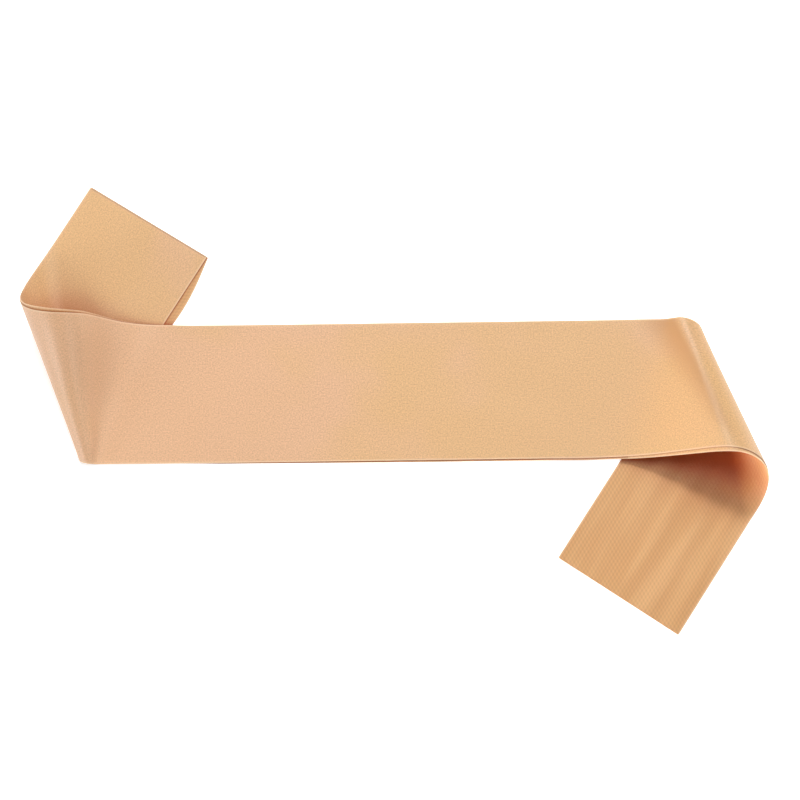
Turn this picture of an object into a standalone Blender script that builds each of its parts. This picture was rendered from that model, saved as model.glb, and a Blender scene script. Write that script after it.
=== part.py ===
"""Satin sash: a ribbon doubled into two plies, laid out flat, with both ends turned under.

The ribbon is worked out flat first, then laid. A point of it is given by its distance along the
ribbon from the middle and its distance across from the centre line. Each turned end is a part of
a cone: every fold line of the turn meets its neighbours at one point, the apex, which lies just
outside the tight edge of the ribbon, so the turn is tight at that edge and open at the other.
The right-hand turn is the left-hand one given a half turn in plan, with its own sizes.

Metres, +Z up, standing on Z = 0. +X runs along the sash, and the left tail goes off towards +Y.
"""

import math

import bpy
import numpy as np

MM = 0.001
UP = np.array([0.0, 0.0, 1.0])

# ---- driving sizes -------------------------------------------------------------------------------
RIBBON_WIDTH = 95 * MM
PLY = 1.0 * MM                      # thickness of one ply's wall
GAP = 0.3 * MM                      # clearance between plies, and between pieces at a seam
SLANT = 0.8                         # degrees that the sash rises towards its right end
STACK = 2 * (PLY + GAP)             # how far the centre is lifted where it lies on a tail
RAMP = 48 * MM                      # length over which the centre comes down beside a tail
MARGIN = 4 * MM                     # how far past a tail's edge the centre stays up
SEAM_INSET = 0.7 * GAP              # how far each end of a piece is drawn in at a seam
SWING_FROM = 0.45                   # share of the turn at which the tail starts to swing and to sink
NORMAL_STEP = 0.4 * MM              # distance over which the sheet's slope is measured

# ---- mesh steps ----------------------------------------------------------------------------------
ACROSS_CELLS = 8                    # from one selvedge to the other
TURN_STEPS = 22                     # fold lines round a turn
TAIL_STEPS = 9                      # rows along a tail
BESIDE_TAIL_STEPS = 13              # rows of the centre on each side of its middle stretch
BESIDE_TAIL = 0.44                  # share of the centre that those rows take
END_TURN_STEPS = 8                  # round the left tail's tip

# Each turned end, in its own frame: the ribbon comes along -X and the open edge is at +Y.
# Loop and lift radii are sizes at REACH from the apex, and grow in proportion to the distance.
REACH = 100 * MM
TURNS = {
    "left": {
        "apex_along": 205 * MM,     # from the middle of the sash to the apex
        "apex_out": 11.4 * MM,      # from the tight selvedge to the apex
        "touch_angle": 99.9,        # plan angle of the line where the turn meets the surface
        "loop_radius": 20.7 * MM,
        "loop_height": 0.8,         # height of the loop against its width
        "spring": 1.22,             # how much higher the springy cloth stands than a plain cone
        "rise_angle": 69.0,         # slope at which the ribbon climbs into the loop
        "lift_radius": 16 * MM,     # radius with which it leaves the surface
        "tail_swing": -3.0,         # degrees that the tail is pulled round in its own plane
        "swing_centre": (-194 * MM, 65 * MM),
        "tail_length": 174 * MM,    # from the apex to the tail's end, along the ribbon
    },
    "right": {
        "apex_along": 190.5 * MM,
        "apex_out": 19 * MM,
        "touch_angle": 106.3,
        "loop_radius": 14.3 * MM,
        "loop_height": 0.98,
        "spring": 1.0,
        "rise_angle": 26.0,
        "lift_radius": 13 * MM,
        "tail_swing": -4.7,
        "swing_centre": (-140 * MM, 88 * MM),
        "tail_length": 200 * MM,
    },
}

# Where the under ply's selvedge lies against the upper ply's, along the sash from its middle.
SHIFTS = (
    # along, shift
    (-325 * MM, 0.9 * MM),
    (-290 * MM, 0.6 * MM),
    (-255 * MM, 2.6 * MM),
    (-215 * MM, 1.4 * MM),
    (-120 * MM, -0.4 * MM),
    (0 * MM, -1.2 * MM),
    (150 * MM, -1.4 * MM),
    (225 * MM, -3.2 * MM),
    (300 * MM, 0.0 * MM),
)
TAIL_BOW = 5.0 * MM                 # how far the left tail's lower ply bows out past the upper
BOW_AFTER = 78 * MM                 # from the turn's end to where the bow starts, along the tight edge

# Colours are linear light: the satin face, and the duller wrong side.
SATIN = (0.77, 0.50, 0.28)
WRONG_SIDE = (0.69, 0.44, 0.23)


# ---- the cone turn -------------------------------------------------------------------------------
def turn_section(turn, lift_steps=6, rise_steps=3, loop_steps=18):
    """Points (out, up) of the turn at unit distance from the apex, from lift-off to touch-down."""
    loop = turn["loop_radius"] / REACH
    lift = turn["lift_radius"] / REACH
    rise = math.radians(turn["rise_angle"])
    straight = (loop * (1 + math.cos(rise)) - lift * (1 - math.cos(rise))) / math.sin(rise)
    start = -(loop + lift) * math.sin(rise) - straight * math.cos(rise)
    points = []
    for step in range(lift_steps + 1):
        angle = rise * step / lift_steps
        points.append((start + lift * math.sin(angle), lift * (1 - math.cos(angle))))
    foot = points[-1]
    for step in range(1, rise_steps):
        run = straight * step / rise_steps
        points.append((foot[0] + run * math.cos(rise), foot[1] + run * math.sin(rise)))
    for step in range(loop_steps + 1):
        angle = math.pi / 2 + rise - (math.pi + rise) * step / loop_steps
        points.append((loop * math.cos(angle), loop + loop * math.sin(angle)))
    return [(out, up * turn["loop_height"]) for out, up in points]


class Turn:
    """One turned end: the fold lines of its cone, and where each lies when laid."""

    def __init__(self, turn):
        self.size = turn
        self.apex = np.array([-turn["apex_along"], -RIBBON_WIDTH / 2 - turn["apex_out"]])
        self.touch = math.radians(turn["touch_angle"])
        section = turn_section(turn)
        lines = np.array([(out, 1.0, up) for out, up in section])
        self.lines = lines / np.linalg.norm(lines, axis=1)[:, None]
        cosines = np.clip((self.lines[1:] * self.lines[:-1]).sum(axis=1), -1, 1)
        self.swept = np.concatenate([[0.0], np.cumsum(np.arccos(cosines))])
        self.whole = self.swept[-1]
        self.lift_off = self.touch + math.atan(section[0][0])

    def edge_along(self, swept, across):
        """Distance along the flat ribbon at which a fold line crosses this distance across."""
        return self.apex[0] + (across - self.apex[1]) / math.tan(self.lift_off + swept)

    def tip_along(self):
        return self.apex[0] - self.size["tail_length"]

    def share(self, along, across):
        """How far round the turn a point lies: 0 at lift-off, 1 at touch-down, and past both."""
        angle = math.atan2(across - self.apex[1], along - self.apex[0])
        return (angle - self.lift_off) / self.whole

    def lay(self, along, across):
        """The laid place of a flat point, before the height that the lower plies take."""
        offset = np.array([along, across]) - self.apex
        distance = np.hypot(*offset)
        share = self.share(along, across)
        if share <= 0:
            return np.array([along, across, 0.0])
        out_way = np.array([-math.sin(self.touch), math.cos(self.touch), 0.0])
        line_way = np.array([math.cos(self.touch), math.sin(self.touch), 0.0])
        if share < 1:
            swept = share * self.whole
            line = np.array([np.interp(swept, self.swept, self.lines[:, k]) for k in range(3)])
            line /= np.linalg.norm(line)
            place = line[0] * out_way + line[1] * line_way + line[2] * UP
        else:
            angle = self.touch - (share - 1) * self.whole
            place = np.array([math.cos(angle), math.sin(angle), 0.0])
        place = distance * place
        place[:2] += self.apex
        place[2] *= self.size["spring"]
        return self.swung(place, share)

    def swung(self, place, share):
        """The tail pulled round in its own plane, eased in over the under half of the turn."""
        angle = math.radians(self.size["tail_swing"]) * smooth((share - SWING_FROM) / (1 - SWING_FROM))
        centre = np.array(self.size["swing_centre"])
        arm = place[:2] - centre
        cos, sin = math.cos(angle), math.sin(angle)
        turned = centre + np.array([cos * arm[0] - sin * arm[1], sin * arm[0] + cos * arm[1]])
        return np.array([turned[0], turned[1], place[2]])


def smooth(value):
    value = min(1.0, max(0.0, value))
    return value * value * (3 - 2 * value)


LEFT, RIGHT = Turn(TURNS["left"]), Turn(TURNS["right"])


# ---- the laid ribbon -----------------------------------------------------------------------------
def tail_inner_edge(turn):
    """Two plan points of the tail's edge that the centre lies across, in the turn's own frame."""
    tight = -RIBBON_WIDTH / 2
    near = turn.lay(turn.edge_along(turn.whole * 1.02, tight), tight)
    far = turn.lay(turn.tip_along(), tight)
    return near[:2], far[:2]


LEFT_EDGE, RIGHT_EDGE = tail_inner_edge(LEFT), tail_inner_edge(RIGHT)


def beyond(point, start, way):
    """How far a plan point lies on the sash's side of a line."""
    return (point[0] - start[0]) * way[1] - (point[1] - start[1]) * way[0]


def lifted(point, turn, edge):
    """Share of the stack's height under a point of the centre, by how near the tail lies."""
    near, far = edge
    from_tail = beyond(point, near, (far - near) / np.linalg.norm(far - near))
    line_way = (math.cos(turn.lift_off), math.sin(turn.lift_off))
    from_turn = beyond(point, turn.apex, line_way)
    return 1 - smooth((min(from_tail, from_turn) - MARGIN) / RAMP)


def half_turned(place):
    return np.array([-place[0], -place[1], place[2]])


def middle_sheet(along, across):
    """The laid place of a point on the sheet midway between the two plies."""
    left = along < 0
    turn, edge = (LEFT, LEFT_EDGE) if left else (RIGHT, RIGHT_EDGE)
    flat = (along, across) if left else (-along, -across)
    place = turn.lay(*flat)
    share = turn.share(*flat)
    if share <= 0:
        stack = lifted(place, turn, edge)
    else:
        stack = 1 - smooth((share - SWING_FROM) / (1 - SWING_FROM))
    place[2] += PLY + GAP / 2 + STACK * stack
    return place if left else half_turned(place)


def outer_normal(along, across):
    """Unit normal of the middle sheet, up on the centre and so down on the tails."""
    step = NORMAL_STEP
    run = middle_sheet(along + step, across) - middle_sheet(along - step, across)
    rise = middle_sheet(along, across + step) - middle_sheet(along, across - step)
    normal = np.cross(run, rise)
    return normal / np.linalg.norm(normal)


def under_shift(along):
    places, shifts = zip(*SHIFTS)
    return float(np.interp(along, places, shifts))


def tail_bow(along):
    """Sideways bow of the lower ply of the left tail, none where it meets the turn and the tip."""
    tight = -RIBBON_WIDTH / 2
    start = LEFT.edge_along(LEFT.whole, tight) - BOW_AFTER
    share = (start - along) / (start - LEFT.tip_along())
    return -TAIL_BOW * math.sin(math.pi * min(1.0, max(0.0, share))) if share > 0 else 0.0


def ply_point(along, across, side, depth):
    """A point of one ply: side is 1 for the outer ply and -1 for the inner, depth 0 to PLY."""
    if side < 0:
        across = across + under_shift(along)
    else:
        across = across + tail_bow(along) * smooth(0.5 - across / RIBBON_WIDTH)
    distance = side * (GAP / 2 + depth)
    return middle_sheet(along, across) + distance * outer_normal(along, across)


# ---- rows of each stretch ------------------------------------------------------------------------
def fold_row(turn, share):
    """Where one fold line crosses the tight selvedge and the open one, along the ribbon."""
    swept = turn.whole * share
    half = RIBBON_WIDTH / 2
    return turn.edge_along(swept, -half), turn.edge_along(swept, half)


def turn_rows(turn):
    """Fold lines from lift-off to touch-down."""
    return inset([fold_row(turn, step / TURN_STEPS) for step in range(TURN_STEPS + 1)])


def tail_rows(turn):
    """Rows from the turn's last fold line to the straight end of the tail."""
    first = fold_row(turn, 1.0)
    tip = turn.tip_along()
    rows = []
    for step in range(TAIL_STEPS + 1):
        part = step / TAIL_STEPS
        rows.append(tuple(edge + (tip - edge) * part for edge in first))
    return inset(rows, end=False)


def centre_rows():
    """Rows from the left turn's first fold line to the right one's, close beside the tails."""
    left_low, left_high = fold_row(LEFT, 0.0)
    right_high, right_low = fold_row(RIGHT, 0.0)
    parts = [BESIDE_TAIL * step / BESIDE_TAIL_STEPS for step in range(BESIDE_TAIL_STEPS + 1)]
    parts += [1 - part for part in reversed(parts)]
    low = [left_low + (-right_low - left_low) * part for part in parts]
    high = [left_high + (-right_high - left_high) * part for part in parts]
    return inset(list(zip(low, high)))


def inset(rows, start=True, end=True):
    """Rows with the first and last drawn in, so that pieces stand GAP apart at their seams."""
    rows = [list(row) for row in rows]
    for ends, here, inner in ((start, 0, 1), (end, -1, -2)):
        if ends:
            for edge in (0, 1):
                way = math.copysign(1, rows[inner][edge] - rows[here][edge])
                rows[here][edge] += way * SEAM_INSET
    return [tuple(row) for row in rows]


def turned_about(rows):
    """The same rows for the right-hand end: both distances change sign, so the edges swap."""
    return [(-high, -low) for low, high in rows]


# ---- making solids -------------------------------------------------------------------------------
def sheet_points(rows, side, depth):
    grid = []
    for low, high in rows:
        row = []
        for cell in range(ACROSS_CELLS + 1):
            part = cell / ACROSS_CELLS
            along = low + (high - low) * part
            across = RIBBON_WIDTH * (part - 0.5)
            row.append(ply_point(along, across, side, depth))
        grid.append(row)
    return grid


def closed_sheet(front, back):
    """Vertices and faces of the wall between two grids of points that have the same rows."""
    rows, columns = len(front), len(front[0])
    vertices = [point for grid in (front, back) for row in grid for point in row]

    def index(layer, row, column):
        return (layer * rows + row) * columns + column

    faces = []
    for row in range(rows - 1):
        for column in range(columns - 1):
            here, beside = (row, column), (row, column + 1)
            after, across = (row + 1, column), (row + 1, column + 1)
            for corners in ((here, beside, across), (here, across, after)):
                faces.append([index(0, *corner) for corner in corners])
                faces.append([index(1, *corner) for corner in reversed(corners)])
    rim = [(0, column) for column in range(columns)]
    rim += [(row, columns - 1) for row in range(1, rows)]
    rim += [(rows - 1, column) for column in range(columns - 2, -1, -1)]
    rim += [(row, 0) for row in range(rows - 2, 0, -1)]
    for here, there in zip(rim, rim[1:] + rim[:1]):
        faces.append([index(0, *there), index(0, *here), index(1, *here), index(1, *there)])
    return vertices, faces


def signed_volume(vertices, faces):
    total = 0.0
    for face in faces:
        first = vertices[face[0]]
        for second, third in zip(face[1:-1], face[2:]):
            total += np.dot(first, np.cross(vertices[second], vertices[third]))
    return total


def placed(vertices):
    """Vertices turned by the sash's slant."""
    slant = math.radians(SLANT)
    cos, sin = math.cos(slant), math.sin(slant)
    return [np.array([cos * x - sin * y, sin * x + cos * y, z]) for x, y, z in vertices]


def cloth_material(name, colour):
    material = bpy.data.materials.new(name)
    material.use_nodes = True
    shader = material.node_tree.nodes["Principled BSDF"]
    shader.inputs["Base Color"].default_value = (*colour, 1.0)
    shader.inputs["Roughness"].default_value = 0.5
    shader.inputs["Metallic"].default_value = 0.0
    return material


def ply_solid(rows, side):
    """The wall of one ply over these rows."""
    vertices, faces = closed_sheet(sheet_points(rows, side, 0.0), sheet_points(rows, side, PLY))
    if signed_volume(vertices, faces) < 0:
        faces = [list(reversed(face)) for face in faces]
    return placed(vertices), faces


def end_turn_solid():
    """The strip that joins the two plies at the left tail's end, a half round of one ply."""
    tip = LEFT.tip_along() - SEAM_INSET
    layers = []
    for radius in (GAP / 2, GAP / 2 + PLY):
        grid = []
        for step in range(END_TURN_STEPS + 1):
            angle = math.pi * step / END_TURN_STEPS - math.pi / 2
            row = []
            for cell in range(ACROSS_CELLS + 1):
                across = RIBBON_WIDTH * (cell / ACROSS_CELLS - 0.5)
                edge = middle_sheet(tip, across)
                way = middle_sheet(tip - MM, across) - middle_sheet(tip, across)
                way /= np.linalg.norm(way)
                row.append(edge + radius * (math.cos(angle) * way + math.sin(angle) * UP))
            grid.append(row)
        layers.append(grid)
    vertices, faces = closed_sheet(*layers)
    if signed_volume(vertices, faces) < 0:
        faces = [list(reversed(face)) for face in faces]
    return placed(vertices), faces


def build():
    for leftover in list(bpy.data.objects):
        bpy.data.objects.remove(leftover)
    outer, inner = 1, -1
    left_turn, right_turn = turn_rows(LEFT), turned_about(turn_rows(RIGHT))
    left_tail, right_tail = tail_rows(LEFT), turned_about(tail_rows(RIGHT))
    centre = centre_rows()
    satin = cloth_material("satin_face", SATIN)
    wrong = cloth_material("satin_wrong_side", WRONG_SIDE)
    pieces = (
        ("centre_upper_ply", ply_solid(centre, outer), satin),
        ("centre_lower_ply", ply_solid(centre, inner), satin),
        ("left_fold_outer_ply", ply_solid(left_turn, outer), satin),
        ("left_fold_inner_ply", ply_solid(left_turn, inner), satin),
        ("left_tail_lower_ply", ply_solid(left_tail, outer), satin),
        ("left_tail_upper_ply", ply_solid(left_tail, inner), satin),
        ("left_tail_end_turn", end_turn_solid(), satin),
        ("right_fold_outer_ply", ply_solid(right_turn, outer), satin),
        ("right_fold_inner_ply", ply_solid(right_turn, inner), wrong),
        ("right_tail_lower_ply", ply_solid(right_tail, outer), satin),
        ("right_tail_upper_ply", ply_solid(right_tail, inner), wrong),
    )
    every = np.array([point for _, (vertices, _), _ in pieces for point in vertices])
    low, high = every.min(axis=0), every.max(axis=0)
    base = np.array([(low[0] + high[0]) / 2, (low[1] + high[1]) / 2, low[2]])
    for name, (vertices, faces), material in pieces:
        mesh = bpy.data.meshes.new(name)
        mesh.from_pydata([tuple(point - base) for point in vertices], [], faces)
        mesh.materials.append(material)
        mesh.shade_smooth()
        mesh.set_sharp_from_angle(angle=math.radians(40))
        piece = bpy.data.objects.new(name, mesh)
        bpy.context.scene.collection.objects.link(piece)


build()
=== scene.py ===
"""Looks of the satin sash: a satin ribbon doubled into two plies, laid flat, both ends turned under.

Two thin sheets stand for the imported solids. One is the long run of ribbon that makes the upper ply,
goes round the left tail's tip and comes back as the under ply; the other is the under ply of the
right end, which shows the wrong side of the satin. A point of the ribbon is worked out flat first,
by its distance along it from the middle and its distance across from the centre line, and is then
laid by the cone-shaped turn at its end. Metres, +Z up, the surface at Z = 0.
"""

import math

import bpy
import numpy as np
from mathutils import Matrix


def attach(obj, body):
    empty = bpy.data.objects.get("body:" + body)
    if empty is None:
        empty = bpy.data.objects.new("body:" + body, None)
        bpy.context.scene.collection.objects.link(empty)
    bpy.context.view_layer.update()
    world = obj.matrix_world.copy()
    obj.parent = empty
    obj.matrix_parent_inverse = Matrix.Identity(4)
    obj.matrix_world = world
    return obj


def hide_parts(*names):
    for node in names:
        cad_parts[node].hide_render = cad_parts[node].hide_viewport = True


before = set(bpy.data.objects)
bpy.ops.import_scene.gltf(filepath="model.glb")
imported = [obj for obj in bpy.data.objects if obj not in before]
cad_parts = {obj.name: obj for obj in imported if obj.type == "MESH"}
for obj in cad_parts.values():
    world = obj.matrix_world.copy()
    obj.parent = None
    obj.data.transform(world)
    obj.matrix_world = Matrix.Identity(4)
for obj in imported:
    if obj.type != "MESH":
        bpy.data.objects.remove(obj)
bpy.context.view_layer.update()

MM = 0.001
UP = np.array([0.0, 0.0, 1.0])

# ---- driving sizes, the same as the solids' ------------------------------------------------------
RIBBON_WIDTH = 95 * MM
SLANT = math.radians(0.8)           # how far the sash rises towards its right end
STRIP_MIDDLE = np.array([2.26 * MM, 10.56 * MM, 0.0])   # the ribbon's middle, from the frame's origin
RAMP = 48 * MM                      # length over which the centre comes down beside a tail
MARGIN = 4 * MM                     # how far past a tail's edge the centre stays up
REACH = 100 * MM                    # distance from the apex at which the turns' radii are given
TURNS = {
    "left": {
        "apex_along": 205 * MM,
        "apex_out": 11.4 * MM,
        "touch_angle": 99.9,
        "loop_radius": 20.7 * MM,
        "loop_height": 0.8,
        "spring": 1.22,
        "rise_angle": 69.0,
        "lift_radius": 16 * MM,
        "tail_swing": -3.0,
        "swing_centre": (-194 * MM, 65 * MM),
        "tail_length": 174 * MM,
    },
    "right": {
        "apex_along": 190.5 * MM,
        "apex_out": 19 * MM,
        "touch_angle": 106.3,
        "loop_radius": 14.3 * MM,
        "loop_height": 0.98,
        "spring": 1.0,
        "rise_angle": 26.0,
        "lift_radius": 13 * MM,
        "tail_swing": -4.7,
        "swing_centre": (-140 * MM, 88 * MM),
        "tail_length": 200 * MM,
    },
}
EARLY_RISE = 0.34                   # radians before lift-off at which the cloth starts to rise softly
RISE_SOFT_TO = 0.22                 # radians past lift-off where the softening starts to end
SOFTENING_SAMPLES = 500             # fold lines worked out to average over
SWING_FROM = 0.45                   # share of the turn at which the tail starts to swing and to sink
JUST_PAST = 1.02                    # how far round the turn the tail's edge is read, just past its end
NORMAL_STEP = 0.3 * MM              # distance over which the sheet's slope is measured
RIM_ANGLE = math.radians(50)        # edges of the mesh sharper than this are not smoothed over

# ---- sizes of the visible cloth ------------------------------------------------------------------
WALL = 0.35 * MM                    # the cloth, with its pile of threads
PLIES_APART = 0.28 * MM             # air between the two plies
STACK = 2 * (WALL + PLIES_APART)    # how far a tail lifts the centre
TAIL_ROWS, TURN_ROWS, CENTRE_ROWS, TIP_ROWS = 66, 76, 165, 8    # mesh rows along each stretch
ACROSS_CELLS = 48                   # mesh cells from one selvedge to the other

# Where the under ply's selvedge lies against the upper ply's, along the sash from its middle.
SHIFTS = (
    # along, shift
    (-325 * MM, 0.9 * MM),
    (-290 * MM, 0.6 * MM),
    (-255 * MM, 2.6 * MM),
    (-215 * MM, 1.4 * MM),
    (-120 * MM, -0.4 * MM),
    (0 * MM, -1.2 * MM),
    (150 * MM, -1.4 * MM),
    (225 * MM, -3.2 * MM),
    (300 * MM, 0.0 * MM),
)
TAIL_BOW = 5.0 * MM                 # how far the left tail's lower ply bows out past the upper
BOW_AFTER = 78 * MM                 # from the turn's end to where the bow starts, along the tight edge

# Soft ridges of both plies: where each peaks, the way it runs, and its half-length, half-width and
# height. A negative height is a trough.
RIDGES = (
    # along, across, way in degrees, half_length, half_width, height
    (-62 * MM, 8 * MM, 12.0, 60 * MM, 16 * MM, 0.35 * MM),
    (40 * MM, -14 * MM, -7.0, 75 * MM, 19 * MM, 0.30 * MM),
    (118 * MM, 20 * MM, 15.0, 42 * MM, 14 * MM, 0.40 * MM),
    (-128 * MM, -20 * MM, 64.0, 36 * MM, 12 * MM, 0.35 * MM),
    (292 * MM, 26 * MM, 4.0, 62 * MM, 5 * MM, 0.30 * MM),
    (318 * MM, 9 * MM, 2.0, 70 * MM, 6 * MM, 0.40 * MM),
    (338 * MM, -10 * MM, -3.0, 52 * MM, 5 * MM, 0.30 * MM),
    (350 * MM, -30 * MM, -2.0, 48 * MM, 6 * MM, 0.35 * MM),
    (-300 * MM, -12 * MM, 22.0, 40 * MM, 12 * MM, 0.50 * MM),
    (-345 * MM, 16 * MM, -12.0, 34 * MM, 9 * MM, 0.45 * MM),
)
RIDGE_FALL = 1.5                    # how fast a ridge dies away past its half-length and half-width

# The springy left end stands up and out beside its open selvedge, most at this distance along.
BULGE_ALONG, BULGE_LENGTH, BULGE_ACROSS = -215 * MM, 36 * MM, 55 * MM
BULGE_UP, BULGE_OUT = 8.0 * MM, 2.8 * MM

# ---- colours, as linear light --------------------------------------------------------------------
SATIN_CREAM = (0.615, 0.372, 0.172)
# the rosy colour is a painted sheen: the light that the satin's left end reflects
SATIN_ROSE_SHEEN = (0.628, 0.376, 0.215)
WRONG_SIDE = (0.62, 0.348, 0.150)
WRONG_SIDE_DEEP = (0.55, 0.290, 0.112)
# painted highlight of the selvedges and the sheets' rims, where the edges catch the light
SELVEDGE_PAINTED_HIGHLIGHT = (0.74, 0.52, 0.32)
FOLD_PAINTED_SHADE = (0.30, 0.045, 0.0)     # painted shade: the deep colour of cloth inside a fold
CLIMB_PAINTED_SHADE = (0.500, 0.262, 0.104)  # painted shade of the satin where it climbs into the right turn, turned away from the light
TIP_CREASE = (0.42, 0.24, 0.13)     # a darker colour along the fold at the left tip
FLOOR_WHITE = 0.93
FLOOR_SPECKLE = 0.004               # how far the floor's white drifts each way
FLOOR_GLOW = 0.6                    # the light table under the sash shines a little
FLOOR_HALF = 3.0                    # half the floor's side

# ---- how the finishes and the painted shade, sheen and highlights lie on the cloth ---------------
SHEEN_ROUGHNESS = 0.4
SELVEDGE_HIGHLIGHT_BAND = 1.3 * MM            # the paler band along each selvedge, a painted highlight where the edges catch the light
SELVEDGE_HIGHLIGHT_SHARE = 0.75               # how much of the painted highlight's colour shows
FOLD_SHADE_REACH = 55 * MM          # how near cloth overhead must be for the painted shade below it
STANDING_SHARE = 0.85               # how open cloth standing on edge always counts, against the painted shade
OUTER_AIRIER = 0.28                 # how much more open the outer ply counts than the inner, so it takes less painted shade
PAINTED_SHEEN_LEAN, PLAIN_LEAN = 0.34, -0.16     # pull to the rosy painted sheen in its stretch, and all over
DYE_EDGES = (0.34, 0.66)            # how dense the dye's cloud is where the other colour begins and is whole
RIB_WAY, TWILL_WAY = (0.0, 1.0, 0.0), (0.826, 0.445, 0.0)   # ways across the ribs and the twill line

# Stretches of the long run, by distance along it from the left tip and negative on the outer ply:
# where each begins, is whole, starts to fade and ends.
# The first stretch is where the rosy painted sheen lies, over the left end.
PAINTED_SHEEN_STRETCH = (-440 * MM, -260 * MM, -40 * MM, -10 * MM)
# The outer ply's stretch takes less painted fold shade.
OUTER_STRETCH = (-2000 * MM, -1500 * MM, -4 * MM, 0.0)
# The last stretch is the darker colour along the fold at the left tip.
TIP_STRETCH = (-2.0 * MM, -0.2 * MM, 1.1 * MM, 1.5 * MM)

# Painted shade where the satin climbs into the right turn, turned away from the light and without its shine:
# soft-edged lines on the flat ribbon that close the place in. along is as in the stretches, way is the
# direction in degrees in which the painted shade lies, and soft is the width of the edge.
CLIMB_SHADE_EDGES = (
    # along, across, way, soft
    (-593 * MM, 5 * MM, -23.5, 6 * MM),
    (-562 * MM, 10 * MM, 146.5, 24 * MM),
    (-590 * MM, -44 * MM, 90.0, 18 * MM),
)

# ---- camera and lights ---------------------------------------------------------------------------
CAMERA_PLACE = (4.98 * MM, -255.7 * MM, 1477.2 * MM)
CAMERA_ELEVATION = math.radians(80)
CAMERA_LENS, CAMERA_SENSOR = 99.27, 36      # millimetres
LIGHTS = (
    # name, place, aim, width, height, watts, spread in degrees, colour
    ("back_key", (-0.35, 2.3, 2.0), (0, 0, 0), 0.6, 0.4, 54.0, 180.0, (1.0, 0.99, 0.98)),
    ("overhead", (0.6, 0.5, 2.5), (0, 0, 0), 1.2, 0.9, 23.0, 180.0, (1.0, 0.99, 0.99)),
    ("front_left_low", (-2.2, -1.4, 0.5), (0, 0, 0), 0.9, 0.4, 30.0, 180.0, (1.0, 0.98, 0.97)),
    ("mouth_low", (-0.45, -1.25, 0.08), (0.22, -0.06, 0.02), 0.2, 0.06, 0.46, 20.0, (1.0, 0.98, 0.97)),
    ("tail_soft", (-0.5, 1.5, 1.2), (-0.18, 0.1, 0), 0.5, 0.4, 0.66, 40.0, (1.0, 0.98, 0.98)),
    ("left_rise_soft", (0.9, 0.0, 0.7), (-0.19, -0.03, 0.02), 0.2, 0.2, 0.04, 20.0, (1.0, 0.98, 0.98)),
    ("right_low", (2.5, 0.6, 0.45), (0, 0, 0), 1.4, 0.7, 17.0, 180.0, (1.0, 0.99, 0.98)),
    ("front_fill", (0.4, -1.7, 1.9), (0, 0, 0), 0.7, 0.5, 13.0, 180.0, (1.0, 0.99, 0.99)),
)
WORLD_STRENGTH = 0.06


def smooth(value):
    value = np.clip(value, 0.0, 1.0)
    return value * value * (3 - 2 * value)


def unit(vectors):
    return vectors / np.linalg.norm(vectors, axis=-1, keepdims=True)


# ---- the cone turn -------------------------------------------------------------------------------
def turn_section(size, lift_steps=24, rise_steps=8, loop_steps=90):
    """Points (out, up) of the turn at unit distance from the apex, from lift-off to touch-down."""
    loop = size["loop_radius"] / REACH
    lift = size["lift_radius"] / REACH
    rise = math.radians(size["rise_angle"])
    straight = (loop * (1 + math.cos(rise)) - lift * (1 - math.cos(rise))) / math.sin(rise)
    start = -(loop + lift) * math.sin(rise) - straight * math.cos(rise)
    leaving = rise * np.linspace(0, 1, lift_steps + 1)
    outs = list(start + lift * np.sin(leaving))
    ups = list(lift * (1 - np.cos(leaving)))
    run = straight * np.arange(1, rise_steps) / rise_steps
    foot_out, foot_up = outs[-1], ups[-1]
    outs += list(foot_out + run * math.cos(rise))
    ups += list(foot_up + run * math.sin(rise))
    round_it = math.pi / 2 + rise - (math.pi + rise) * np.linspace(0, 1, loop_steps + 1)
    outs += list(loop * np.cos(round_it))
    ups += list(loop + loop * np.sin(round_it))
    return np.array(outs), np.array(ups) * size["loop_height"]


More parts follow.
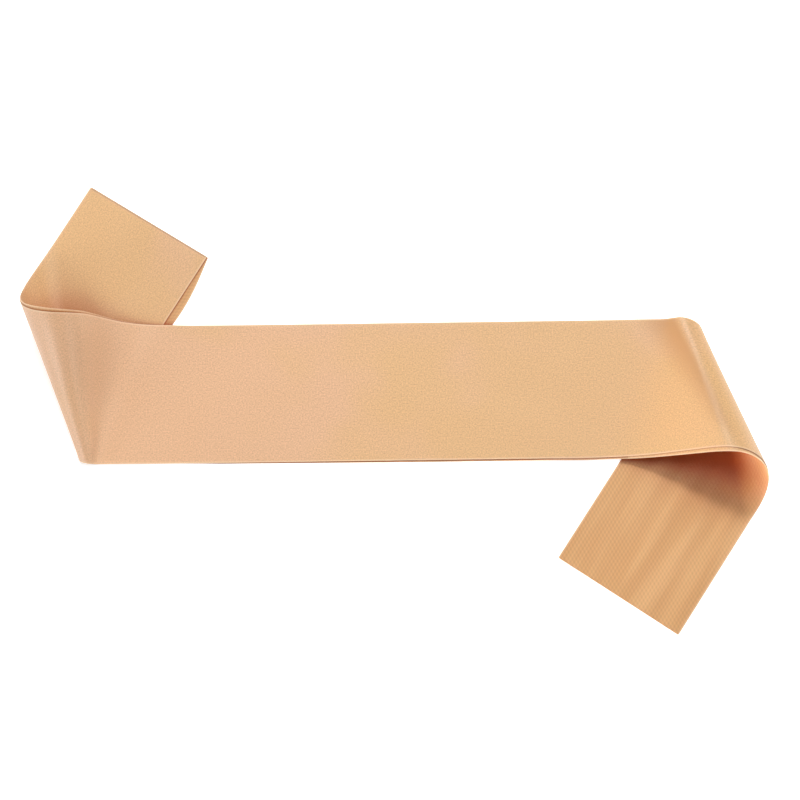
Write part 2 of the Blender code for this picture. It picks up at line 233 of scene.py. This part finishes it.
class Turn:
    """One turned end, in its own frame: the ribbon comes along -X and the open edge is at +Y."""

    def __init__(self, size):
        self.size = size
        self.apex = np.array([-size["apex_along"], -RIBBON_WIDTH / 2 - size["apex_out"]])
        self.touch = math.radians(size["touch_angle"])
        outs, ups = turn_section(size)
        lines = unit(np.stack([outs, np.ones_like(outs), ups], axis=-1))
        cosines = np.clip((lines[1:] * lines[:-1]).sum(axis=1), -1, 1)
        swept = np.concatenate([[0.0], np.cumsum(np.arccos(cosines))])
        self.whole = swept[-1]
        self.lift_off = self.touch + math.atan(outs[0])
        self.tip = self.apex[0] - size["tail_length"]
        self.swept, self.lines = self.softened(swept, lines)

    def softened(self, swept, lines):
        """The fold lines with those near lift-off averaged, so that the cloth rises without a crease."""
        angles = np.linspace(-EARLY_RISE, self.whole, SOFTENING_SAMPLES)
        before = self.lift_off - self.touch + angles
        flat = np.stack([np.sin(before), np.cos(before), np.zeros_like(before)], axis=-1)
        turned = np.stack([np.interp(angles, swept, lines[:, axis]) for axis in range(3)], axis=-1)
        whole = np.where(angles[:, None] < 0, flat, turned)
        reach = int(EARLY_RISE / (angles[1] - angles[0]))
        kernel = np.hanning(2 * reach + 1)
        padded = np.pad(whole, ((reach, reach), (0, 0)), mode="edge")
        blurred = [np.convolve(padded[:, axis], kernel / kernel.sum(), "valid") for axis in range(3)]
        ease = smooth((angles - RISE_SOFT_TO) / RISE_SOFT_TO)[:, None]
        start = smooth((angles + EARLY_RISE) / EARLY_RISE)[:, None]
        mixed = np.stack(blurred, axis=-1) * (1 - ease) + whole * ease
        return angles, unit(whole * (1 - start) + mixed * start)

    def edge_along(self, share, across):
        """Distance along the flat ribbon at which a fold line crosses this distance across."""
        return self.apex[0] + (across - self.apex[1]) / np.tan(self.lift_off + share * self.whole)

    def share(self, along, across):
        """How far round the turn a point lies: 0 at lift-off, 1 at touch-down, and past both."""
        angle = np.arctan2(across - self.apex[1], along - self.apex[0])
        return (angle - self.lift_off) / self.whole

    def lay(self, along, across):
        """The laid places of flat points, and how far round the turn each lies."""
        distance = np.hypot(along - self.apex[0], across - self.apex[1])[..., None]
        share = self.share(along, across)
        swept = np.clip(share * self.whole, -EARLY_RISE, self.whole)
        parts = [np.interp(swept, self.swept, self.lines[:, axis]) for axis in range(3)]
        line = unit(np.stack(parts, axis=-1))
        out_way = np.array([-math.sin(self.touch), math.cos(self.touch), 0.0])
        line_way = np.array([math.cos(self.touch), math.sin(self.touch), 0.0])
        turning = line[..., :1] * out_way + line[..., 1:2] * line_way + line[..., 2:] * UP
        angle = self.touch - np.maximum(share - 1, 0) * self.whole
        turned = np.stack([np.cos(angle), np.sin(angle), np.zeros_like(angle)], axis=-1)
        place = distance * np.where(share[..., None] < 1, turning, turned)
        place[..., :2] += self.apex
        place[..., 2] *= self.size["spring"]
        place = self.swung(place, share)
        before = np.stack([along, across, np.zeros_like(along)], axis=-1)
        return np.where(share[..., None] * self.whole <= -EARLY_RISE, before, place), share

    def swung(self, place, share):
        """The tail pulled round in its own plane, eased in over the under half of the turn."""
        ease = smooth((share - SWING_FROM) / (1 - SWING_FROM))
        angle = math.radians(self.size["tail_swing"]) * ease
        centre = np.array(self.size["swing_centre"])
        arm = place[..., :2] - centre
        cos, sin = np.cos(angle), np.sin(angle)
        place[..., 0] = centre[0] + cos * arm[..., 0] - sin * arm[..., 1]
        place[..., 1] = centre[1] + sin * arm[..., 0] + cos * arm[..., 1]
        return place

    def tail_edge(self):
        """Two plan points of the tail's edge that the centre lies across."""
        tight = -RIBBON_WIDTH / 2
        along = np.array([self.edge_along(JUST_PAST, tight), self.tip])
        return self.lay(along, np.full(2, tight))[0][:, :2]


LEFT, RIGHT = Turn(TURNS["left"]), Turn(TURNS["right"])


# ---- the laid ribbon -----------------------------------------------------------------------------
def beyond(place, start, way):
    """How far plan points lie on the sash's side of a line."""
    return (place[..., 0] - start[0]) * way[1] - (place[..., 1] - start[1]) * way[0]


def lifted(place, turn):
    """Share of the stack's height under the centre, by how near the tail lies."""
    near, far = turn.tail_edge()
    from_tail = beyond(place, near, unit(far - near))
    from_turn = beyond(place, turn.apex, (math.cos(turn.lift_off), math.sin(turn.lift_off)))
    return 1 - smooth((np.minimum(from_tail, from_turn) - MARGIN) / RAMP)


def ridge_height(along, across):
    """Height of the soft ridges and troughs of both plies."""
    total = np.zeros_like(along)
    for ridge_along, ridge_across, way, half_length, half_width, height in RIDGES:
        cos, sin = math.cos(math.radians(way)), math.sin(math.radians(way))
        lengthwise = (along - ridge_along) * cos + (across - ridge_across) * sin
        crosswise = (across - ridge_across) * cos - (along - ridge_along) * sin
        fall = (lengthwise / half_length) ** 2 + (crosswise / half_width) ** 2
        total += height * np.exp(-RIDGE_FALL * fall)
    return total


def side_sheet(turn, along, across):
    """One half of the middle sheet, in its turn's own frame, with the height of what it lies on."""
    place, share = turn.lay(along, across)
    sinking = 1 - smooth((share - SWING_FROM) / (1 - SWING_FROM))
    stack = np.where(share <= 0, lifted(place, turn), sinking)
    place[..., 2] += WALL + PLIES_APART / 2 + STACK * stack
    if turn is LEFT:
        bulge = np.exp(-(((along - BULGE_ALONG) / BULGE_LENGTH) ** 2))
        bulge *= smooth((across - RIBBON_WIDTH / 2) / BULGE_ACROSS + 1)
        place[..., 1] += BULGE_OUT * bulge
        place[..., 2] += BULGE_UP * bulge
    return place


def middle_sheet(along, across):
    """The laid places of points on the sheet midway between the two plies."""
    left = side_sheet(LEFT, along, across)
    right = side_sheet(RIGHT, -along, -across) * np.array([-1, -1, 1])
    place = np.where((along < 0)[..., None], left, right)
    place[..., 2] += ridge_height(along, across)
    return place


def outer_normal(along, across):
    """Unit normals of the middle sheet, up on the centre and so down on the tails."""
    step = NORMAL_STEP
    run = middle_sheet(along + step, across) - middle_sheet(along - step, across)
    rise = middle_sheet(along, across + step) - middle_sheet(along, across - step)
    return unit(np.cross(run, rise))


def tail_bow(along, across):
    """Sideways bow of the left tail's lower ply, none where it meets the turn and the tip."""
    start = LEFT.edge_along(1.0, -RIBBON_WIDTH / 2) - BOW_AFTER
    share = np.clip((start - along) / (start - LEFT.tip), 0, 1)
    return -TAIL_BOW * np.sin(math.pi * share) * smooth(0.5 - across / RIBBON_WIDTH)


def ply_points(along, across, side, depth):
    """Points of one ply: side 1 is the outer ply and -1 the inner, depth runs from 0 to WALL."""
    if side < 0:
        shift_at, shifts = zip(*SHIFTS)
        across = across + np.interp(along, shift_at, shifts)
    else:
        across = across + tail_bow(along, across)
    distance = side * (PLIES_APART / 2 + depth)
    return middle_sheet(along, across) + distance * outer_normal(along, across)


# ---- rows of fold lines, as (low edge, high edge) distances along ---------------------------------
def fold_row(turn, share):
    edges = (turn.edge_along(share, -RIBBON_WIDTH / 2), turn.edge_along(share, RIBBON_WIDTH / 2))
    return edges if turn is LEFT else (-edges[1], -edges[0])


def between(first, last, steps):
    parts = np.linspace(0, 1, steps + 1)[:, None]
    return np.array(first) + (np.array(last) - np.array(first)) * parts


def tip_row(turn):
    return (turn.tip, turn.tip) if turn is LEFT else (-turn.tip, -turn.tip)


def end_rows(turn):
    """Rows from lift-off to the tail's tip, without the first."""
    turning = [fold_row(turn, step / TURN_ROWS) for step in range(1, TURN_ROWS + 1)]
    tail = between(turning[-1], tip_row(turn), TAIL_ROWS)[1:]
    return np.concatenate([turning, tail])


def centre_rows():
    return between(fold_row(LEFT, 0.0), fold_row(RIGHT, 0.0), CENTRE_ROWS)


# ---- making sheets -------------------------------------------------------------------------------
def flat_grid(rows):
    """(along, across) of every point of these rows."""
    part = np.linspace(0, 1, ACROSS_CELLS + 1)
    along = rows[:, :1] + (rows[:, 1:] - rows[:, :1]) * part
    across = np.broadcast_to(RIBBON_WIDTH * (part - 0.5), along.shape)
    return along, across.copy()


def tip_grid(depth):
    """The half round in which the ribbon goes from the outer ply to the inner at the left tip."""
    across = RIBBON_WIDTH * (np.linspace(0, 1, ACROSS_CELLS + 1) - 0.5)
    along = np.full_like(across, LEFT.tip)
    edge = middle_sheet(along, across)
    way = unit(middle_sheet(along - MM, across) - edge)
    normal = outer_normal(along, across)
    rounds = []
    for step in range(1, TIP_ROWS):
        angle = math.pi * step / TIP_ROWS
        ray = math.cos(angle) * normal + math.sin(angle) * way
        rounds.append(edge + (PLIES_APART / 2 + depth) * ray)
    return np.array(rounds)


def rim_of(grid):
    """The outline of a grid of vertex numbers, once round."""
    return np.concatenate([grid[0], grid[1:, -1], grid[-1, -2::-1], grid[-2:0:-1, 0]])


def shell_faces(rows, columns):
    """Faces of a closed shell: the front grid, the back grid, and the rim between them."""
    index = np.arange(2 * rows * columns).reshape(2, rows, columns)
    quads = []
    for layer in (0, 1):
        here = index[layer]
        corners = [here[:-1, :-1], here[:-1, 1:], here[1:, 1:], here[1:, :-1]]
        if layer:
            corners.reverse()
        quads.append(np.stack(corners, axis=-1).reshape(-1, 4))
    front, back = index
    around, beneath = rim_of(front), rim_of(back)
    ahead, ahead_beneath = np.roll(around, -1), np.roll(beneath, -1)
    quads.append(np.stack([ahead, around, beneath, ahead_beneath], axis=-1))
    return quads


def slanted(front, back):
    """Every point of the two grids, turned by the sash's slant and put in its place in the frame."""
    points = np.concatenate([front.reshape(-1, 3), back.reshape(-1, 3)])
    cos, sin = math.cos(SLANT), math.sin(SLANT)
    slant = np.array([[cos, -sin, 0.0], [sin, cos, 0.0], [0.0, 0.0, 1.0]])
    return points @ slant.T + STRIP_MIDDLE


def give_ribbon_map(mesh, lengthwise, across):
    """Flat ribbon distances in metres as the map that the weave follows, the same on both faces."""
    flat = np.stack([lengthwise, across], axis=-1).reshape(-1, 2)
    flat = np.concatenate([flat, flat])
    corners = np.empty(len(mesh.loops), np.int32)
    mesh.loops.foreach_get("vertex_index", corners)
    ribbon = mesh.uv_layers.new(name="ribbon")
    ribbon.data.foreach_set("uv", flat[corners].astype(np.float32).ravel())


def sheet_object(name, front, back, lengthwise, across, materials):
    """A closed thin sheet. materials are those of the front, the back and the selvedge rim."""
    rows, columns = front.shape[:2]
    quads = shell_faces(rows, columns)
    turned = np.cross(front[1, 0] - front[0, 0], front[0, 1] - front[0, 0])
    inside_out = np.dot(turned, front[0, 0] - back[0, 0]) > 0
    if inside_out:
        quads = [group[:, ::-1] for group in quads]
    mesh = bpy.data.meshes.new(name)
    mesh.from_pydata(slanted(front, back).tolist(), [], np.concatenate(quads).tolist())
    for material in materials:
        mesh.materials.append(material)
    mesh.polygons.foreach_set("material_index", np.repeat([0, 1, 2], [len(group) for group in quads]))
    give_ribbon_map(mesh, lengthwise, across)
    mesh.shade_smooth()
    mesh.set_sharp_from_angle(angle=RIM_ANGLE)
    sheet = bpy.data.objects.new(name, mesh)
    bpy.context.scene.collection.objects.link(sheet)
    return sheet


def length_of(rows):
    """Length of a stretch along the ribbon's centre line."""
    return abs(rows[-1].mean() - rows[0].mean())


def make_long_run(materials):
    """Outer ply from the right tip to the left one, round it, and back as the inner ply, and its length."""
    outer = np.concatenate([end_rows(RIGHT)[::-1], centre_rows()[::-1], end_rows(LEFT)])
    inner = np.concatenate([end_rows(LEFT)[::-1], centre_rows()])
    layers = []
    for depth in (WALL, 0.0):
        parts = (
            ply_points(*flat_grid(outer), 1, depth),
            tip_grid(depth),
            ply_points(*flat_grid(inner), -1, depth),
        )
        layers.append(np.concatenate(parts))
    outer_along, across = flat_grid(outer)
    inner_along, _ = flat_grid(inner)
    round_tip = np.linspace(0, 2 * PLIES_APART, TIP_ROWS + 1)[1:-1]
    tip_along = np.broadcast_to(round_tip[:, None], (TIP_ROWS - 1, ACROSS_CELLS + 1))
    past_tip = inner_along - LEFT.tip + 2 * PLIES_APART
    lengthwise = np.concatenate([LEFT.tip - outer_along, tip_along, past_tip])
    across = np.broadcast_to(across[0], lengthwise.shape)
    sheet = sheet_object("satin_long_run", *layers, lengthwise, across, materials)
    return sheet, length_of(outer) + length_of(inner)


def make_right_under_ply(materials):
    """Inner ply of the right end, from under the centre to the tail's cut end, and its length."""
    rows = np.concatenate([[fold_row(RIGHT, 0.0)], end_rows(RIGHT)])
    along, across = flat_grid(rows)
    layers = [ply_points(along, across, -1, depth) for depth in (WALL, 0.0)]
    return sheet_object("right_under_ply", *layers, along, across, materials), length_of(rows)


# ---- shader node groups --------------------------------------------------------------------------
def new_group(name, inputs, outputs):
    """An empty node group with named inputs (name, socket type, default) and outputs."""
    group = bpy.data.node_groups.new(name, "ShaderNodeTree")
    for label, kind, default in inputs:
        socket = group.interface.new_socket(label, in_out="INPUT", socket_type=kind)
        socket.default_value = default
    for label, kind in outputs:
        group.interface.new_socket(label, in_out="OUTPUT", socket_type=kind)
    return group, group.nodes.new("NodeGroupInput"), group.nodes.new("NodeGroupOutput")


def add(tree, kind, inputs=(), **settings):
    """A node with its settings, and its inputs set to a value or linked from a socket."""
    node = tree.nodes.new(kind)
    for key, value in settings.items():
        setattr(node, key, value)
    for key, value in dict(inputs).items():
        if isinstance(value, bpy.types.NodeSocket):
            tree.links.new(value, node.inputs[key])
        else:
            node.inputs[key].default_value = value
    return node


def maths(tree, operation, first, second=0.0, third=0.0):
    """One step of arithmetic on sockets or numbers."""
    given = {0: first, 1: second, 2: third}
    return add(tree, "ShaderNodeMath", given, operation=operation).outputs[0]


def vector_maths(tree, operation, first, second):
    """A vector sum, difference, product or dot product, or a vector times a number for SCALE."""
    key = "Scale" if operation == "SCALE" else 1
    node = add(tree, "ShaderNodeVectorMath", {0: first, key: second}, operation=operation)
    return node.outputs["Value" if operation == "DOT_PRODUCT" else "Vector"]


def ramp(tree, value, low, high, top=1.0, bottom=0.0, kind="LINEAR"):
    """bottom while value is under low, top once it is over high, and between them on the way."""
    given = {"Value": value, "From Min": low, "From Max": high, "To Min": bottom, "To Max": top}
    return add(tree, "ShaderNodeMapRange", given, interpolation_type=kind).outputs[0]


def mixed(tree, share, first, second):
    """A colour between two, each a socket or a fixed colour: the first at 0 and the second at 1."""
    ends = [end if isinstance(end, bpy.types.NodeSocket) else (*end, 1) for end in (first, second)]
    given = {"Factor": share, 6: ends[0], 7: ends[1]}
    return add(tree, "ShaderNodeMix", given, data_type="RGBA").outputs[2]


def ribbon_place(tree):
    """The flat place on the ribbon, (along, across) in metres."""
    return add(tree, "ShaderNodeUVMap", uv_map="ribbon").outputs["UV"]


def thread_grain_group():
    """Fine directionless speckle of the satin's threads: a height, and a tint close to 1."""
    group, given, out = new_group(
        "thread_grain",
        (("Grains per metre", "NodeSocketFloat", 620.0), ("Tint depth", "NodeSocketFloat", 0.05)),
        (("Height", "NodeSocketFloat"), ("Tint", "NodeSocketFloat")),
    )
    place = ribbon_place(group)
    fineness = given.outputs["Grains per metre"]
    noise = {"Vector": place, "Scale": fineness, "Detail": 2.0, "Roughness": 0.6}
    grain = add(group, "ShaderNodeTexNoise", noise)
    swing = maths(group, "SUBTRACT", grain.outputs["Fac"], 0.5)
    tint = maths(group, "MULTIPLY_ADD", swing, given.outputs["Tint depth"], 1.0)
    group.links.new(grain.outputs["Fac"], out.inputs["Height"])
    group.links.new(tint, out.inputs["Tint"])
    return group


def twill_lattice_group():
    """Small lozenge bumps of the wrong side: ribs along the ribbon crossed by a diagonal wave."""
    group, given, out = new_group(
        "twill_lattice",
        (("Rib pitch", "NodeSocketFloat", 2.2 * MM), ("Wobble", "NodeSocketFloat", 0.25 * MM),
         ("Tint depth", "NodeSocketFloat", 0.05)),
        (("Height", "NodeSocketFloat"), ("Tint", "NodeSocketFloat")),
    )
    place = ribbon_place(group)
    sway = add(group, "ShaderNodeTexNoise", {"Vector": place, "Scale": 90.0, "Detail": 1.0})
    shaken = vector_maths(group, "SUBTRACT", sway.outputs["Color"], (0.5, 0.5, 0.5))
    moved = vector_maths(group, "ADD", place, vector_maths(group, "SCALE", shaken, given.outputs["Wobble"]))
    waves = []
    for way in (RIB_WAY, TWILL_WAY):
        reach = vector_maths(group, "DOT_PRODUCT", moved, way)
        turns = maths(group, "DIVIDE", reach, given.outputs["Rib pitch"])
        waves.append(maths(group, "SINE", maths(group, "MULTIPLY", turns, 2 * math.pi)))
    both = maths(group, "ADD", waves[0], waves[1])
    height = maths(group, "MULTIPLY_ADD", both, 0.25, 0.5)
    tint = maths(group, "MULTIPLY_ADD", both, given.outputs["Tint depth"], 1.0)
    group.links.new(height, out.inputs["Height"])
    group.links.new(tint, out.inputs["Tint"])
    return group


def dye_and_sheen_drift_group():
    """Slow unevenness of the dye between two colours; where Lean pulls towards a sheen colour it paints a
    sheen as well. Patches is how many there are in a metre each way, Lean pulls towards the second colour,
    and Tint darkens or lightens the whole."""
    group, given, out = new_group(
        "dye_and_sheen_drift",
        (("Colour", "NodeSocketColor", (0.7, 0.45, 0.25, 1)),
         ("Other", "NodeSocketColor", (0.7, 0.45, 0.28, 1)),
         ("Patches", "NodeSocketVector", (9.0, 9.0, 1.0)), ("Lean", "NodeSocketFloat", 0.0),
         ("Tint", "NodeSocketFloat", 1.0)),
        (("Colour", "NodeSocketColor"),),
    )
    place = vector_maths(group, "MULTIPLY", ribbon_place(group), given.outputs["Patches"])
    noise = {"Vector": place, "Scale": 1.0, "Detail": 2.0, "Roughness": 0.45}
    cloud = add(group, "ShaderNodeTexNoise", noise).outputs["Fac"]
    spread = ramp(group, maths(group, "ADD", cloud, given.outputs["Lean"]), *DYE_EDGES, kind="SMOOTHSTEP")
    blend = mixed(group, spread, given.outputs["Colour"], given.outputs["Other"])
    group.links.new(vector_maths(group, "SCALE", blend, given.outputs["Tint"]), out.inputs["Colour"])
    return group


# ---- materials -----------------------------------------------------------------------------------
def new_material(name, roughness, sheen=0.0):
    material = bpy.data.materials.new(name)
    material.use_nodes = True
    tree = material.node_tree
    shader = tree.nodes["Principled BSDF"]
    shader.inputs["Roughness"].default_value = roughness
    shader.inputs["Sheen Weight"].default_value = sheen
    shader.inputs["Sheen Roughness"].default_value = SHEEN_ROUGHNESS
    return material, tree, shader


def placed_group(tree, group, values):
    return add(tree, "ShaderNodeGroup", values, node_tree=group)


def bumped(tree, shader, height, distance, strength):
    bump = add(tree, "ShaderNodeBump", {"Height": height, "Distance": distance, "Strength": strength})
    tree.links.new(bump.outputs["Normal"], shader.inputs["Normal"])


def with_painted_fold_shade(tree, colour, closed, open_at, airier=0.0):
    """Painted shade: the fold's deep colour where cloth closes the place in, and the colour itself in open
    air. airier is added to how open the place is."""
    sky = add(tree, "ShaderNodeAmbientOcclusion", {"Distance": FOLD_SHADE_REACH}, samples=8).outputs["AO"]
    openness = ramp(tree, maths(tree, "ADD", sky, airier), closed, open_at)
    normal = add(tree, "ShaderNodeNewGeometry").outputs["Normal"]
    upright = add(tree, "ShaderNodeSeparateXYZ", {0: normal}).outputs["Z"]
    standing = maths(tree, "SUBTRACT", 1.0, maths(tree, "ABSOLUTE", upright))
    openness = maths(tree, "MAXIMUM", openness, maths(tree, "MULTIPLY", standing, STANDING_SHARE))
    return mixed(tree, openness, FOLD_PAINTED_SHADE, colour)


def with_selvedge_highlight(tree, colour):
    """The colour with a painted highlight along both selvedges: a paler band where their edges catch the
    light.
    """
    across = add(tree, "ShaderNodeSeparateXYZ", {0: ribbon_place(tree)}).outputs["Y"]
    edge = RIBBON_WIDTH / 2
    band = ramp(tree, maths(tree, "ABSOLUTE", across), edge - SELVEDGE_HIGHLIGHT_BAND, edge - SELVEDGE_HIGHLIGHT_BAND / 3,
                SELVEDGE_HIGHLIGHT_SHARE)
    return mixed(tree, band, colour, SELVEDGE_PAINTED_HIGHLIGHT)


def band_along(tree, start, full, fade, end):
    """1 between two distances along the ribbon, 0 before and after them, with soft ends."""
    along = add(tree, "ShaderNodeSeparateXYZ", {0: ribbon_place(tree)}).outputs["X"]
    ends = [ramp(tree, along, low, high, kind="SMOOTHSTEP") for low, high in ((start, full), (end, fade))]
    return maths(tree, "MULTIPLY", *ends)


def within_edges(tree, edges):
    """1 on the inner side of every line, with soft edges."""
    total = 1.0
    for along, across, way, soft in edges:
        normal = (math.cos(math.radians(way)), math.sin(math.radians(way)), 0.0)
        reach = vector_maths(tree, "DOT_PRODUCT", ribbon_place(tree), normal)
        start = along * normal[0] + across * normal[1]
        total = maths(tree, "MULTIPLY", ramp(tree, reach, start, start + soft, kind="SMOOTHSTEP"), total)
    return total


def satin_face_material(grain, dye):
    material, tree, shader = new_material("satin_face", 0.46, sheen=0.15)
    threads = placed_group(tree, grain, {"Grains per metre": 1000.0, "Tint depth": 0.95})
    # a painted rosy sheen over the left end, from the lean to the rosy colour in its stretch
    lean = maths(tree, "MULTIPLY_ADD", band_along(tree, *PAINTED_SHEEN_STRETCH), PAINTED_SHEEN_LEAN, PLAIN_LEAN)
    drifted_tone = placed_group(tree, dye, {"Colour": (*SATIN_CREAM, 1), "Other": (*SATIN_ROSE_SHEEN, 1), "Lean": lean,
                                    "Patches": (11.0, 14.0, 1.0), "Tint": threads.outputs["Tint"]})
    # a darker colour along the fold at the left tip
    creased = mixed(tree, band_along(tree, *TIP_STRETCH), drifted_tone.outputs["Colour"], TIP_CREASE)
    # painted shade where the satin climbs into the right turn
    climb_shaded = mixed(tree, within_edges(tree, CLIMB_SHADE_EDGES), creased, CLIMB_PAINTED_SHADE)
    airier = maths(tree, "MULTIPLY", band_along(tree, *OUTER_STRETCH), OUTER_AIRIER)
    # painted shade in folds and under overhanging cloth, over the painted highlight of the selvedges
    colour = with_painted_fold_shade(tree, with_selvedge_highlight(tree, climb_shaded), closed=0.42, open_at=0.93, airier=airier)
    tree.links.new(colour, shader.inputs["Base Color"])
    bumped(tree, shader, threads.outputs["Height"], distance=0.06 * MM, strength=0.7)
    return material


def wrong_side_material(lattice, dye):
    material, tree, shader = new_material("satin_wrong_side", 0.6, sheen=0.03)
    twill = placed_group(tree, lattice, {"Rib pitch": 2.2 * MM, "Wobble": 0.9 * MM, "Tint depth": 0.06})
    drifted_tone = placed_group(tree, dye, {"Colour": (*WRONG_SIDE, 1), "Other": (*WRONG_SIDE_DEEP, 1),
                                    "Patches": (9.0, 70.0, 1.0), "Tint": twill.outputs["Tint"]})
    # painted shade in folds and under overhanging cloth, over the painted highlight of the selvedges
    colour = with_painted_fold_shade(tree, with_selvedge_highlight(tree, drifted_tone.outputs["Colour"]), closed=0.66, open_at=1.0)
    tree.links.new(colour, shader.inputs["Base Color"])
    bumped(tree, shader, twill.outputs["Height"], distance=0.1 * MM, strength=0.7)
    return material


def selvedge_highlight_material(grain):
    # the rim is painted pale: a painted highlight where the edges catch the light
    material, tree, shader = new_material("selvedge", 0.5)
    threads = placed_group(tree, grain, {"Grains per metre": 900.0, "Tint depth": 0.3})
    tinted = vector_maths(tree, "SCALE", SELVEDGE_PAINTED_HIGHLIGHT, threads.outputs["Tint"])
    tree.links.new(tinted, shader.inputs["Base Color"])
    return material


def floor_material():
    material, tree, shader = new_material("white_table", 0.7)
    speckle = add(tree, "ShaderNodeTexNoise", {"Scale": 40.0, "Detail": 2.0}).outputs["Fac"]
    shade = ramp(tree, speckle, 0.0, 1.0, FLOOR_WHITE + FLOOR_SPECKLE, FLOOR_WHITE - FLOOR_SPECKLE)
    tree.links.new(shade, shader.inputs["Base Color"])
    shader.inputs["Emission Color"].default_value = (1, 1, 1, 1)
    shader.inputs["Emission Strength"].default_value = FLOOR_GLOW
    return material


# ---- the studio ----------------------------------------------------------------------------------
def make_floor():
    half = FLOOR_HALF
    mesh = bpy.data.meshes.new("floor")
    corners = [(-half, -half, 0), (half, -half, 0), (half, half, 0), (-half, half, 0)]
    mesh.from_pydata(corners, [], [(0, 1, 2, 3)])
    mesh.materials.append(floor_material())
    floor = bpy.data.objects.new("floor", mesh)
    bpy.context.scene.collection.objects.link(floor)


def aimed(thing, place, way):
    """Puts a camera or light at a place, looking along a direction with its top towards +Z."""
    back = -unit(np.array(way, float))
    side = unit(np.cross(UP, back))
    top = np.cross(back, side)
    turn = np.stack([side, top, back], axis=1)
    matrix = [[*turn[row], place[row]] for row in range(3)] + [[0, 0, 0, 1]]
    thing.matrix_world = [list(column) for column in zip(*matrix)]


def make_camera():
    camera = bpy.data.objects.new("camera", bpy.data.cameras.new("camera"))
    camera.data.lens = CAMERA_LENS
    camera.data.sensor_width = CAMERA_SENSOR
    way = (0.0, math.cos(CAMERA_ELEVATION), -math.sin(CAMERA_ELEVATION))
    aimed(camera, CAMERA_PLACE, way)
    bpy.context.scene.collection.objects.link(camera)
    bpy.context.scene.camera = camera


def make_lights():
    for name, place, aim, width, height, watts, spread, colour in LIGHTS:
        lamp = bpy.data.lights.new(name, "AREA")
        lamp.shape = "RECTANGLE"
        lamp.size, lamp.size_y = width, height
        lamp.energy, lamp.color = watts, colour
        lamp.spread = math.radians(spread)
        light = bpy.data.objects.new(name, lamp)
        aimed(light, place, np.array(aim) - np.array(place))
        bpy.context.scene.collection.objects.link(light)
    world = bpy.data.worlds.new("studio")
    world.use_nodes = True
    world.node_tree.nodes["Background"].inputs["Color"].default_value = (1, 1, 1, 1)
    world.node_tree.nodes["Background"].inputs["Strength"].default_value = WORLD_STRENGTH
    bpy.context.scene.world = world
    bpy.context.scene.view_settings.view_transform = "Standard"


# ---- all of it -----------------------------------------------------------------------------------
make_camera()
make_lights()
make_floor()
thread_grain, twill_lattice, dye_and_sheen_drift = thread_grain_group(), twill_lattice_group(), dye_and_sheen_drift_group()
satin_face = satin_face_material(thread_grain, dye_and_sheen_drift)
wrong_side = wrong_side_material(twill_lattice, dye_and_sheen_drift)
selvedge = selvedge_highlight_material(thread_grain)

long_run, run_length = make_long_run((satin_face, wrong_side, selvedge))
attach(long_run, "root")
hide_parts("centre_upper_ply", "centre_lower_ply", "left_fold_outer_ply",
            "left_fold_inner_ply", "left_tail_lower_ply", "left_tail_upper_ply", "left_tail_end_turn",
            "right_fold_outer_ply", "right_tail_lower_ply")

under_ply, under_length = make_right_under_ply((wrong_side, satin_face, selvedge))
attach(under_ply, "root")
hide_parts("right_fold_inner_ply", "right_tail_upper_ply")
